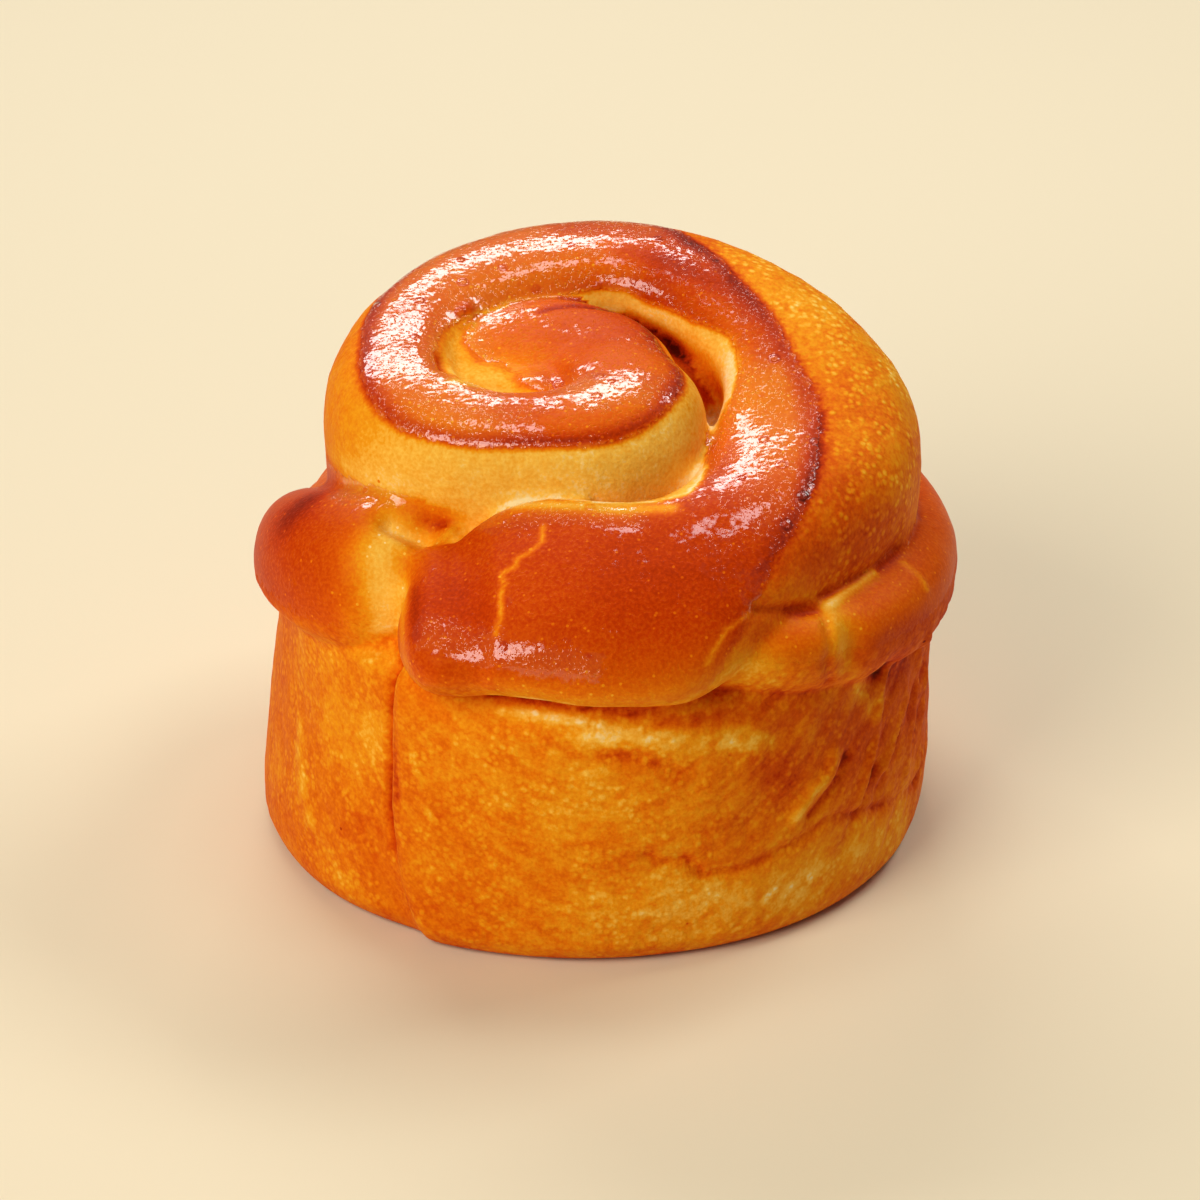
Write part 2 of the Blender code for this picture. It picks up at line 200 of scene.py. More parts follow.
def rolled_strip(bm, stations, centre, end_cap=None):
    """A strip of dough laid along its stations, both ends rounded off."""
    rows, path, ahead, outward = strip_path(stations, centre, RINGS_PER_STATION)

    def ring(i, shrink=1.0, push=0.0):
        origin = path[i] + ahead[i] * push
        return [(*(origin + outward[i] * t), z) for t, z in strip_section(rows[i], shrink)]

    def cap(i, length):
        angles = [(n + 0.5) / CAP_RINGS * math.pi / 2 for n in range(CAP_RINGS)]
        return [ring(i, math.sin(a) ** CAP_POWER, math.cos(a) ** CAP_POWER * length) for a in angles]

    first, last = rows[0], rows[-1]
    rings = cap(0, -(first.inner + first.outer) / 2)
    rings += [ring(i) for i in range(len(rows))]
    rings += reversed(cap(len(rows) - 1, end_cap or (last.inner + last.outer) / 2))
    loft(bm, rings)


# domes of dough that close the roll under its heart and under the gap beside it
PLUG_FLOOR = 50.0
PLUG_EDGE = 2.2
Plug = namedtuple("Plug", "x y radius belly crown")
PLUGS = [Plug(-0.5, -0.5, 8.0, 56.0, 65.6), Plug(-13.5, -2.5, 6.0, 58.0, 63.6),
         Plug(-7.5, -4.5, 6.0, 58.0, 63.8), Plug(11.0, 6.5, 5.0, 56.0, 60.6)]

TOUCHING = 1e-4
bm = bmesh.new()
rolled_strip(bm, SNAIL, SNAIL_HEART, LOBE_END)
rolled_strip(bm, COLLAR, COLLAR_CENTRE)
turned_body(bm, BODY_PROFILE)
for plug in PLUGS:
    rise = plug.crown - plug.belly
    dome = [(c * plug.radius, plug.belly + s * rise) for c, s in quarter_oval(PLUG_EDGE)]
    foot = [(0, PLUG_FLOOR), (plug.radius, PLUG_FLOOR)]
    turned_body(bm, foot + dome + [(0, plug.crown)], (plug.x, plug.y))
bmesh.ops.remove_doubles(bm, verts=bm.verts[:], dist=TOUCHING)
bmesh.ops.recalc_face_normals(bm, faces=bm.faces[:])
mesh = bpy.data.meshes.new("baked_roll")
bm.to_mesh(mesh)
bm.free()
roll = bpy.data.objects.new("baked_roll", mesh)
bpy.context.scene.collection.objects.link(roll)

# baking makes one dough of them: fused on fine cells, then the seams are smoothed round
CELL = 0.62
SMOOTHING_PASSES = 4


def baked(obj, *modifiers):
    """The object's mesh with the modifiers applied, each given as (type, settings)."""
    for kind, settings in modifiers:
        modifier = obj.modifiers.new(kind.lower(), kind)
        for name, value in settings.items():
            setattr(modifier, name, value)
    depsgraph = bpy.context.evaluated_depsgraph_get()
    mesh = bpy.data.meshes.new_from_object(obj.evaluated_get(depsgraph))
    obj.modifiers.clear()
    obj.data = mesh
    return mesh


mesh = baked(roll, ("REMESH", {"mode": "VOXEL", "voxel_size": CELL}),
             ("SMOOTH", {"factor": 0.5, "iterations": SMOOTHING_PASSES}))
count = len(mesh.vertices)
points = np.empty(count * 3, np.float32)
mesh.vertices.foreach_get("co", points)
points = points.reshape(-1, 3).astype(float)
radius = np.hypot(points[:, 0], points[:, 1])
azimuth = np.degrees(np.arctan2(points[:, 1], points[:, 0])) % 360
height = points[:, 2]

# the wall isn't quite round: it swells and draws in by its direction, has an upright crease at the
# front left, where one side stands prouder than the other, and is tucked in beside the lobe's end
Swell = namedtuple("Swell", "direction width amount")
FOOT_SWELLS = [Swell(200, 30, 1.3), Swell(280, 25, -0.9)]
FOOT_SWELLS_OVER = (26.0, 0.0)         # heights where a swell starts and where it is whole
RIM_SWELLS = [Swell(352, 25, 0.7), Swell(190, 40, -1.8)]
RIM_SWELLS_OVER = (6.0, 31.0)
RIM_SWELLS_END = (38.0, 33.0)
TUCK = Swell(314, 3.0, 1.6)
TUCK_HEIGHT = 41.0
TUCK_HALF_HEIGHT = 6.0
CREASE_AT = 232.0
CREASE_DRIFT = 7.0                     # how far the crease wanders round, below this height
CREASE_DRIFTS_BELOW = 20.0
CREASE_DRIFT_POWER = 1.5
CREASE_DEPTH = 1.7
CREASE_SHALLOW_SHARE = 0.15
CREASE_DEEPENS_OVER = (10.0, 20.0)
CREASE_HALF_ANGLE = 1.0
CREASE_STEP = 0.7                      # how much prouder one side stands, and over what angles
CREASE_STEP_ANGLE = 1.5
CREASE_STEP_FADE = 12.0
WALL_RADII = (30.0, 38.0)              # what counts as the wall, from its inner part to its skin
WALL_HEIGHTS = (50.0, 40.0)


def angle_between(a, b):
    """How far the first angle is past the second, the short way round."""
    return (a - b + 180) % 360 - 180


def bump(angle, centre, width):
    """1 at the centre, falling to nothing over about two widths."""
    return np.exp(-(angle_between(angle, centre) / width) ** 2)


def wall_swell(azimuth, height):
    """How far the baked wall stands out of, or in from, the round of the tin."""
    low = ramp(height, *FOOT_SWELLS_OVER)
    high = ramp(height, *RIM_SWELLS_OVER) * ramp(height, *RIM_SWELLS_END)
    swell = low * sum(s.amount * bump(azimuth, s.direction, s.width) for s in FOOT_SWELLS)
    swell += high * sum(s.amount * bump(azimuth, s.direction, s.width) for s in RIM_SWELLS)
    tucked = np.exp(-((height - TUCK_HEIGHT) / TUCK_HALF_HEIGHT) ** 2)
    swell -= TUCK.amount * bump(azimuth, TUCK.direction, TUCK.width) * tucked
    crease_at = CREASE_AT + CREASE_DRIFT * ramp(height, CREASE_DRIFTS_BELOW, 0.0) ** CREASE_DRIFT_POWER
    deepening = CREASE_SHALLOW_SHARE + (1 - CREASE_SHALLOW_SHARE) * ramp(height, *CREASE_DEEPENS_OVER)
    swell -= CREASE_DEPTH * deepening * bump(azimuth, crease_at, CREASE_HALF_ANGLE)
    side = np.tanh(angle_between(azimuth, crease_at) / CREASE_STEP_ANGLE)
    return swell + CREASE_STEP * side * bump(azimuth, crease_at, CREASE_STEP_FADE)


wall_share = ramp(radius, *WALL_RADII) * ramp(height, *WALL_HEIGHTS)
points[:, :2] *= (1 + wall_share * wall_swell(azimuth, height) / np.maximum(radius, 1.0))[:, None]

edges = np.empty(len(mesh.edges) * 2, np.int32)
mesh.edges.foreach_get("vertices", edges)
edges = edges.reshape(-1, 2)
neighbours = np.bincount(edges.ravel(), minlength=count)


def neighbours_mean(values):
    """The mean of the values, one row per vertex, over each vertex's neighbours."""
    total = np.zeros_like(values)
    for a, b in ((0, 1), (1, 0)):
        np.add.at(total, edges[:, a], values[edges[:, b]])
    return (total.T / neighbours).T


def blurred(values, passes):
    """The values spread over the surface, half of the way to the neighbours' mean at each pass."""
    for _ in range(passes):
        values = 0.5 * (values + neighbours_mean(values))
    return values


PLACES_PER_STATION = 24


def strip_places(points):
    """Where each point lies on the rolled dough.

    Gives the strip (0 snail, 1 collar), its turn, and the share of the way from the crest down to the
    belly of its flank (inwards negative).
    """
    tree_points, owner = [], []
    strips = []
    for number, (stations, centre) in enumerate(((SNAIL, SNAIL_HEART), (COLLAR, COLLAR_CENTRE))):
        rows, path, _, outward = strip_path(stations, centre, PLACES_PER_STATION)
        strips.append((rows, path, outward))
        for i, row in enumerate(rows):
            for t, z in strip_section(row)[::2]:
                tree_points.append((*(path[i] + outward[i] * t), z))
                owner.append((number, i))
    tree = KDTree(len(tree_points))
    for i, place in enumerate(tree_points):
        tree.insert(place, i)
    tree.balance()
    places = np.empty((len(points), 3))
    for i, point in enumerate(points):
        number, row = owner[tree.find(point)[1]]
        rows, path, outward = strips[number]
        station = rows[row]
        t = (point[:2] - path[row]) @ outward[row]
        if t >= 0:
            rise = station.crown - station.belly
            flank = math.atan2(t / station.outer, (point[2] - station.belly) / rise)
        else:
            drop = shoulder_drop(station)
            flank = -math.atan2(-t / station.inner, (point[2] - station.crown + drop) / drop)
        flank /= math.pi / 2
        places[i] = number, station.turn, flank
    return places


strip, turn, flank = strip_places(points).T
on_snail = strip == 0


def by_turn(table, column=1):
    """A column of a table that runs along the snail, its turns in the first column, at each point."""
    return np.interp(-turn, -table[:, 0], table[:, column])


# the glaze on the snail: turn, then the inner and the outer edge of the brushed band, each as its
# share of the way from the crest down to the belly (inwards is negative), then how brown the band
# and the outer flank under it baked (0 is cream and 1 is dark red-brown)
# on the heart, from turn 68 to -60, the band is set browner as painted shade, where the ring stands
# between it and the lights behind
GLAZE = np.array([
    (150, -0.30, 0.60, 0.48, 0.30), (140, -0.40, 0.60, 0.52, 0.34), (120, -0.60, 0.56, 0.56, 0.38),
    (105, -0.70, 0.54, 0.60, 0.40), (90, -0.85, 0.50, 0.63, 0.42), (68, -1.00, 0.46, 0.66, 0.42),
    (25, -1.20, 0.40, 0.67, 0.40), (-18, -1.20, 0.43, 0.66, 0.34),
    (-43, -1.00, 0.44, 0.62, 0.20), (-60, -0.80, 0.51, 0.59, 0.14), (-77, -0.62, 0.55, 0.58, 0.16),
    (-102, -0.50, 0.55, 0.60, 0.17), (-124, -0.45, 0.55, 0.56, 0.18), (-138, -0.45, 0.56, 0.50, 0.21),
    (-153, -0.40, 0.55, 0.49, 0.25), (-162, -0.34, 0.48, 0.52, 0.30), (-174, -0.36, 0.38, 0.54, 0.37),
    (-188, -0.46, 0.28, 0.56, 0.39),
    (-205, -0.56, 0.30, 0.55, 0.40), (-230, -0.72, 0.40, 0.50, 0.40), (-260, -0.86, 0.50, 0.52, 0.44),
    (-290, -0.78, 0.30, 0.50, 0.46), (-302, -0.85, 0.09, 0.60, 0.44), (-325, -0.70, -0.06, 0.56, 0.36),
    (-340, -0.52, -0.06, 0.50, 0.34), (-353, -0.54, -0.05, 0.46, 0.36), (-369, -0.62, 0.07, 0.48, 0.42),
    (-382, -0.62, 0.18, 0.54, 0.50), (-390, -0.62, 0.31, 0.58, 0.56), (-400, -0.56, 0.51, 0.62, 0.58),
    (-407, -0.40, 0.62, 0.66, 0.58), (-412, -0.28, 0.75, 0.68, 0.56), (-417, -0.10, 0.90, 0.69, 0.54),
    (-424, -0.15, 1.10, 0.70, 0.53), (-437, -0.22, 1.15, 0.70, 0.52), (-448, -0.32, 1.15, 0.69, 0.50),
    (-460, -0.40, 1.15, 0.68, 0.48), (-481, -0.45, 1.15, 0.67, 0.46),
])
INNER_EDGE_AT, OUTER_EDGE_AT, BAND_BROWN_AND_SHADE, FLANK_BROWN = 1, 2, 3, 4     # the columns after the turn
FLANK_LENGTH = 14.0                    # a strip's flank from crest to belly, along the surface
COLLAR_FLANK_LENGTH = 8.0
WELL_INSIDE = 6.0
BRUSHED_FROM = 34.0                    # the tin kept the egg off everything lower
inner_edge = by_turn(GLAZE, INNER_EDGE_AT)
outer_edge = by_turn(GLAZE, OUTER_EDGE_AT)
inside = np.minimum(outer_edge - flank, flank - inner_edge) * FLANK_LENGTH
inside = np.where(on_snail, inside, (1.0 - np.abs(flank)) * COLLAR_FLANK_LENGTH)
inside = np.clip(inside, -WELL_INSIDE, WELL_INSIDE)
inside = np.where(height < BRUSHED_FROM, -WELL_INSIDE, inside)

# how brown the collar's top baked, by its turn
COLLAR_BROWN = np.array([(-63, 0.50), (-17, 0.60), (25, 0.60), (112, 0.58), (158, 0.58), (175, 0.66),
                         (190, 0.70), (203, 0.68), (216, 0.60)])
# how brown the wall is, by its direction: low down and just under the rim
# high on the right, from -25 to 0 degrees, it is set darker: part browning, part painted shade
WALL_BROWN_AND_SHADE = np.array([(-60, 0.41, 0.53), (-45, 0.41, 0.58), (-25, 0.47, 0.68), (0, 0.54, 0.70),
                       (60, 0.50, 0.58), (120, 0.50, 0.56), (180, 0.46, 0.50), (205, 0.44, 0.40),
                       (225, 0.47, 0.40), (240, 0.48, 0.44), (256, 0.42, 0.38), (270, 0.42, 0.36),
                       (285, 0.39, 0.42), (300, 0.38, 0.50)])
LOW_WALL, HIGH_WALL = 8.0, 26.0
COLLAR_MIDDLE = 76                     # the turn half-way along the collar
wall_turn = (azimuth - WALL_BROWN_AND_SHADE[0, 0]) % 360 + WALL_BROWN_AND_SHADE[0, 0]
wall_low = np.interp(wall_turn, WALL_BROWN_AND_SHADE[:, 0], WALL_BROWN_AND_SHADE[:, 1], period=360)
wall_high = np.interp(wall_turn, WALL_BROWN_AND_SHADE[:, 0], WALL_BROWN_AND_SHADE[:, 2], period=360)
wall_brown_and_shade = wall_low + (wall_high - wall_low) * ramp(height, LOW_WALL, HIGH_WALL)
collar_brown = np.interp(angle_between(turn, COLLAR_MIDDLE),
                         angle_between(COLLAR_BROWN[:, 0], COLLAR_MIDDLE), COLLAR_BROWN[:, 1])

# where the strip touched its neighbour it stayed pale; its brushed top darkens in a narrow rim
# along the outer edge, and past the gap a cream line follows the inner edge
INNER_FLANK_BROWN = np.array([(-200, 0.24), (-250, 0.14), (-265, 0.14), (-310, 0.05), (-405, 0.05),
                              (-425, 0.23)])
BAND_SOFTNESS = np.array([(80, 1.8), (40, 0.6)])       # how far the band fades at its edges
RIM_BROWN = 0.26
RIM_FADE = (2.4, 0.4)
RIM_TURNS = (-425, -395)
CREAM_LINE = 0.30
CREAM_LINE_WIDTH = 0.9
CREAM_LINE_TURNS = (-400, -410)
softness = by_turn(BAND_SOFTNESS)
band = ramp(inside, -softness, softness)
on_inner_flank = flank < (inner_edge + outer_edge) / 2
unbrushed_brown = np.where(on_inner_flank, by_turn(INNER_FLANK_BROWN), by_turn(GLAZE, FLANK_BROWN))
snail_brown_and_shade = by_turn(GLAZE, BAND_BROWN_AND_SHADE) * band + unbrushed_brown * (1 - band)
strip_brown_and_shade = np.where(on_snail, snail_brown_and_shade, collar_brown)
to_outer = (outer_edge - flank) * FLANK_LENGTH
strip_brown_and_shade += on_snail * RIM_BROWN * band * ramp(to_outer, *RIM_FADE) * ramp(turn, *RIM_TURNS)
to_inner = (flank - inner_edge) * FLANK_LENGTH
cream_line = np.exp(-(to_inner / CREAM_LINE_WIDTH) ** 2) * ramp(turn, *CREAM_LINE_TURNS)
strip_brown_and_shade -= on_snail * CREAM_LINE * cream_line

# the strips' browning runs over into the wall's below their bellies, and is soft where the two
# strips meet and on the heart
LOW_TURNS = -405                       # from here on the snail lies against the wall, as the collar does
UNDER_BELLY = (0.95, 1.25)
UNDER_STRIPS = (40.0, 35.0)
SEAM_PASSES, BROWN_PASSES, INSIDE_PASSES = 12, 20, 16
SEAM_STRENGTH = 5.0
SEAM_HEIGHTS = (57.0, 53.0)
HEART_AT = (-10.0, -2.0)
HEART_RADII = (13.0, 9.0)
HEART_HEIGHTS = (58.0, 61.0)
THINNER_ON_HEART = 0.6
on_low_strip = ~on_snail | (turn < LOW_TURNS)
to_wall = np.where(on_low_strip, ramp(flank, *UNDER_BELLY), 0.0)
to_wall = np.maximum(to_wall, ramp(height, *UNDER_STRIPS))
# as well as the browning, this level carries painted shade and painted highlights, from the tables above
# and the marks below
brown = strip_brown_and_shade * (1 - to_wall) + wall_brown_and_shade * to_wall
seam = blurred(strip, SEAM_PASSES)
near_seam = np.minimum(1.0, SEAM_STRENGTH * seam * (1 - seam)) * ramp(height, *SEAM_HEIGHTS)
from_heart = np.hypot(points[:, 0] - HEART_AT[0], points[:, 1] - HEART_AT[1])
on_heart = ramp(from_heart, *HEART_RADII) * ramp(height, *HEART_HEIGHTS)
brown += (blurred(brown, BROWN_PASSES) - brown) * np.maximum(near_seam, on_heart)
inside = inside * (1 - THINNER_ON_HEART * on_heart)
inside += (blurred(inside, INSIDE_PASSES) - inside) * on_heart

# how thickly the egg lies: most on the coils, less on the lobe and the collar, least under the lobe
EGG_ON_LOBE, EGG_ON_COILS, EGG_ON_COLLAR = 0.40, 1.00, 0.20
LOBE_TO_COILS = (-430, -395)
LOBE_FROM = -415
UNDER_LIP = (0.65, 0.95)
LESS_UNDER_LIP = 0.9
on_coils = ramp(turn, *LOBE_TO_COILS)
shine = np.where(on_snail, EGG_ON_LOBE + (EGG_ON_COILS - EGG_ON_LOBE) * on_coils, EGG_ON_COLLAR)
shine *= 1 - LESS_UNDER_LIP * (turn < LOBE_FROM) * ramp(flank, *UNDER_LIP)

# marks laid along points of the surface: how much browner (below zero paler), how many millimetres
# raised (below zero sunk), how far the mark reaches to each side, and how much glossier it is
Mark = namedtuple("Mark", "brown raised radius points shine", defaults=(0.0,))
MARKS = [
    # the coiled top: darker streaks; the open gap with its dark lines, and the pit beside the heart,
    # painted dark red as painted shade in them; the knob beside the heart, and the pale line where the
    # heart touches the ring
    Mark(0.12, 0.0, 2.4, [(-4, 24, 70), (3, 23.4, 70), (8, 21.6, 70), (13, 20, 69.6)]),
    Mark(0.16, 0.0, 2.2, [(4, 18, 69.7), (6.7, 17, 69.6), (11.8, 14.2, 69), (16.2, 11.3, 68),
                          (18.3, 8.6, 67.3), (20.4, 3.9, 65.7), (21.4, 0.2, 64.5)]),
    Mark(0.12, 0.0, 0.9, [(27.8, -10.6, 61.4), (27.6, -16, 60), (26.6, -21.3, 58.8),
                          (25.3, -25.1, 57.4)]),
    Mark(0.42, 0.0, 2.4, [(6.0, 9.5, 59.5), (9.5, 8.4, 60), (12.0, 6.0, 60), (14.2, 3.0, 59)]),
    Mark(0.10, 0.0, 3.0, [(0, 13.5, 66), (6, 12.5, 66), (11, 8.5, 65), (14.4, 4, 63.6)]),
    Mark(0.50, -0.3, 0.9, [(4, 13.2, 62.8), (6.5, 11.7, 62.2), (8.5, 10.2, 61.7), (10.3, 8.4, 61),
                           (11.7, 6.2, 60.2)]),
    Mark(0.26, -0.2, 0.5, [(-7.2, 8.5, 66), (-5.3, 9.1, 66.1), (-3, 9.4, 66.2), (-0.9, 9.1, 66.1),
                           (1.7, 8.9, 65.8)]),
    Mark(-0.22, 0.0, 1.2, [(-19.3, -3.4, 64.6), (-17, -6.4, 63.4), (-12, -7.6, 62.6)]),
    Mark(0.50, -1.4, 1.0, [(-19.4, -3, 64.8), (-19, -5.8, 64.9)], -1.0),
    Mark(0.24, 1.1, 1.0, [(-16.2, 8.4, 66.4)], -0.6),
    Mark(-0.30, 0.2, 0.8, [(-17.5, -9.6, 65.4), (-15, -9.8, 65.2), (-12.5, -10.3, 64.9),
                           (-9, -10.6, 64.8)]),
    # painted paler and more golden under the widest highlights, a painted highlight, then where the egg
    # lies thinly or thickly on the coils
    Mark(-0.10, 0.0, 4.5, [(-1, -13, 66), (5, -13.5, 66)]),
    Mark(-0.08, 0.0, 5.0, [(18, -8, 61), (22.5, -13, 60.7), (21, -19, 59.5)]),
    Mark(0.0, 0.0, 5.0, [(-9, 4, 65), (-4.6, 7, 66), (3, 5, 66.5)], -0.6),
    Mark(-0.08, 0.0, 3.6, [(-8, -1, 64), (0, -3, 66), (7, -6, 66.3)], -0.7),
    Mark(0.0, 0.0, 3.0, [(-19, -12, 65), (-11, -14, 65.5), (-5, -15, 65.5)], -0.3),
    Mark(-0.05, 0.0, 2.5, [(-20, -17, 64), (-13, -20, 63.6)], 0.3),
    Mark(0.0, 0.0, 2.4, [(-4.5, -19, 64.2), (2, -18.5, 64.4), (8, -15.5, 64.6)], -0.7),
    Mark(0.03, 0.0, 5.0, [(2, 18, 69), (9, 15, 68.4), (14, 9, 67), (17, 3, 65)], -0.4),
    # the lower end of the gap, painted dark red as painted shade
    Mark(0.36, 0.0, 1.8, [(15, 1, 58), (16, -2.5, 57.5), (16.5, -6, 57)]),
    # the lobe: browned face, cream top edge with glints painted a little paler as a painted highlight,
    # two jagged pale cracks, paler underside, and where it meets the wall a red line that is painted
    # shade under the lip, and a cream line
    Mark(0.05, 0.0, 6.0, [(6, -36, 54), (16, -34, 54), (20, -33, 52)]),
    Mark(0.07, 0.0, 4.0, [(-18, -34.5, 50.5), (-15, -38.5, 49)]),
    Mark(-0.44, 0.0, 1.1, [(-9.6, -24.4, 56.1), (-4.4, -26.2, 57.3), (2.8, -27.5, 57.5),
                           (9, -27.2, 57.6)]),
    Mark(-0.10, 0.0, 1.8, [(-12, -25.6, 54.6), (-9.3, -26.4, 56.3), (-2, -28, 57.2),
                           (4, -29.2, 57)], 1.2),
    Mark(-0.34, 0.0, 0.36, [(-6.5, -29.3, 56.1), (-6.6, -31.7, 55.3), (-8, -32.9, 54.6),
                            (-9.6, -33.4, 53.9), (-9.8, -34.3, 53.4), (-11.4, -34.8, 52.6),
                            (-11.1, -36.4, 52), (-11.6, -37.9, 51.1), (-11.5, -40, 50),
                            (-12, -42, 48.3)]),
    Mark(-0.28, 0.0, 0.38, [(18.4, -38, 49), (17, -39.1, 48.4), (15.5, -40.3, 47.9),
                            (13.8, -42.3, 45.8), (13.3, -42.8, 44.9)]),
    Mark(-0.22, 0.0, 4.2, [(-8, -43.5, 40.5), (2, -44, 41.5), (8, -43.5, 42), (14, -41.5, 42),
                           (20, -38, 42)]),
    Mark(0.26, 0.0, 0.9, [(-19.5, -37.2, 39.3), (-14.2, -37, 37.9), (-11.7, -38, 37.5),
                          (-4.4, -39.8, 37.2), (0.4, -40.6, 36.7), (5.2, -40.8, 36.1),
                          (11.3, -40.2, 34.9), (16.5, -38.8, 35.5), (21, -37, 37)]),
    Mark(-0.30, 0.1, 0.6, [(-11.7, -39.6, 36.4), (-4.4, -41, 36), (0.4, -41.6, 35.4)]),
    # the glossy lip of the lobe and the bulb's glossy inner top, each painted paler under its highlight
    # as a painted highlight
    Mark(-0.04, 0.0, 2.5, [(-20.6, -39.6, 47.4), (-14, -42.8, 46.8), (-7, -44.6, 46.2),
                           (-1, -45, 45.6)], 1.0),
    Mark(-0.20, 0.0, 3.4, [(-31, -13.5, 53), (-25.6, -17.8, 53.6)], 0.8),
    # the left bulb, the torn pinch pocket beside the lobe and the pale valley under it
    Mark(0.20, 0.0, 3.0, [(-36, -12, 49.4), (-37.5, -13, 47.6)]),
    Mark(-0.44, -2.8, 1.9, [(-25.2, -21.4, 51.8), (-21.2, -22.8, 51)], -1.6),
    Mark(-0.06, 0.6, 0.6, [(-27.2, -21.7, 51.8), (-25.3, -23.7, 51.1), (-23.8, -24.5, 50.7),
                           (-22.2, -26.1, 50.2), (-20.9, -26.1, 50.8), (-19.8, -24.2, 50.5),
                           (-18.8, -23.5, 51.1), (-17.8, -22.7, 51.6)]),
    # two dark lines inside the pocket under its rim: painted shade
    Mark(0.24, -0.3, 0.5, [(-26.8, -20.6, 52), (-25, -22.4, 51), (-23.2, -23.2, 50.4)]),
    Mark(0.28, -0.3, 0.45, [(-21.6, -20.4, 52.4), (-20, -21, 52), (-18.6, -21.6, 52.2)]),
    Mark(-0.22, 0.0, 1.3, [(-23.6, -28.6, 46.8), (-23.5, -33.1, 46.6), (-23.4, -36.6, 45.1),
                           (-22.4, -39, 43)]),
    Mark(0.12, 0.0, 1.2, [(-22.3, -31.7, 48.6), (-22, -35.2, 47.8), (-21.7, -38.5, 46.3)]),
    Mark(-0.46, 0.0, 3.5, [(-26.4, -24.5, 49.5), (-26, -27, 45.8), (-25.2, -29, 42)]),
    Mark(-0.12, 0.3, 1.2, [(-30.6, -28, 42.5), (-29.6, -28.2, 39.5), (-27.6, -28.1, 37)]),
    # the crease at the front left, painted dark red along it as painted shade, and the pale dashes and
    # patches beside it, the one left of the crease a painted highlight on its rounded fold
    Mark(0.40, -0.4, 0.6, [(-25.5, -33, 45), (-25.4, -34, 38), (-25.3, -34, 34), (-25.2, -34.5, 27.6),
                           (-25, -35.1, 20.7)]),
    Mark(-0.26, 0.15, 0.5, [(-22.7, -35.8, 27.7), (-21.4, -36.8, 23.7)]),
    Mark(-0.24, 0.15, 0.5, [(-21.1, -37, 21.2), (-19.9, -37.8, 18.8)]),
    # a painted highlight on the rounded fold left of the crease
    Mark(-0.14, 0.0, 2.0, [(-28.5, -31, 28), (-28.3, -31.2, 25)]),
    Mark(-0.18, 0.2, 1.2, [(-37.6, -18.6, 22), (-37.2, -20.4, 16), (-35.9, -23.6, 10)]),
    Mark(-0.22, 0.0, 1.3, [(-32, -28.6, 4.8)]),
    # the front of the wall: cream band and red streaks under the lobe, red line over a paler foot
    Mark(-0.26, 0.15, 1.5, [(-1, -42, 34), (5.2, -41.1, 33.4), (12.5, -39.9, 32), (19.9, -37, 30.6)]),
    Mark(-0.08, 0.0, 4.5, [(-12, -41, 24.6)]),
    Mark(0.20, -0.15, 1.2, [(1, -42, 31.4), (3.6, -41.7, 31), (10.4, -40.7, 28.3)]),
    Mark(0.18, -0.4, 0.7, [(6, -41.7, 16.8), (8.4, -41.3, 15.6), (10.8, -40.6, 15.8), (13.1, -40, 12.8),
                           (18.2, -38.2, 12.8), (24.6, -34.6, 14.1), (29.1, -31.1, 15.7),
                           (35.3, -23.8, 12.6), (40.8, -12, 9.1)]),
    Mark(-0.16, 0.2, 4.0, [(0, -42, 8), (6, -41.6, 9), (12.8, -39.6, 8), (22.8, -35.3, 8),
                           (31.8, -27.9, 8), (38.6, -17.6, 6)]),
    # the right of the wall: cream and brown patches; slanting folds with a ridge painted paler as a
    # painted highlight and a groove painted darker as painted shade; ridges painted paler as painted
    # glints; hollows painted red as painted shade
    Mark(0.14, 0.0, 2.4, [(20.6, -36.9, 27.6), (23.1, -35.3, 23)]),
    Mark(-0.20, 0.0, 1.6, [(15.6, -39, 32.5), (21.8, -36, 29.6)]),
    Mark(-0.26, 0.6, 0.9, [(29.4, -30.6, 24.5), (29, -31.1, 22.2), (26.7, -33, 20.8),
                           (24.5, -34.4, 17.8)]),
    Mark(0.16, -0.6, 0.9, [(31.2, -28.8, 23), (29.6, -30.6, 20), (26.5, -33.2, 17)]),
    Mark(-0.32, 0.0, 2.4, [(32.6, -26.4, 30.6), (35, -23.4, 27.3)]),
    Mark(0.12, -0.6, 1.2, [(34.8, -24.7, 18.6), (34.8, -24.7, 16)]),
    Mark(0.10, -0.5, 1.1, [(37.9, -19.5, 21), (37.4, -20.4, 18.5)]),
    Mark(-0.08, 0.6, 0.8, [(41, -19.9, 35), (38.7, -17.9, 25), (35.9, -22.6, 18)]),
    Mark(-0.08, 0.6, 0.8, [(35.9, -22.4, 33), (34.6, -24.3, 23), (32.4, -27.2, 15)]),
    Mark(-0.08, 0.6, 0.8, [(39.7, -14.5, 33), (40, -13.8, 24), (38.6, -17.2, 14)]),
    Mark(-0.08, 0.6, 0.8, [(41.2, -9.5, 32), (41, -10.2, 22), (40.2, -13.1, 12)]),
    # the collar's end at the right: the neck crease and the groove along the top of the flap, painted a
    # little darker as painted shade, the pale fold, a pale line along the top ridge that is a painted
    # highlight, stretch lines, the edge below
    Mark(0.06, -0.8, 0.9, [(19.5, -36.9, 49), (22.9, -34.1, 47.3), (26.3, -31.1, 45.6)]),
    Mark(0.04, -0.6, 0.8, [(27.4, -30.4, 45), (28, -33, 44), (28.1, -35.1, 40.3), (28.4, -32.3, 35.8)]),
    Mark(-0.26, 0.2, 2.6, [(28.6, -30.6, 44.8), (29.4, -32.6, 42), (30.4, -31.6, 38), (31, -30, 34)]),
    Mark(-0.12, 0.0, 2.6, [(20, -36, 50), (25, -31.6, 47.6)]),
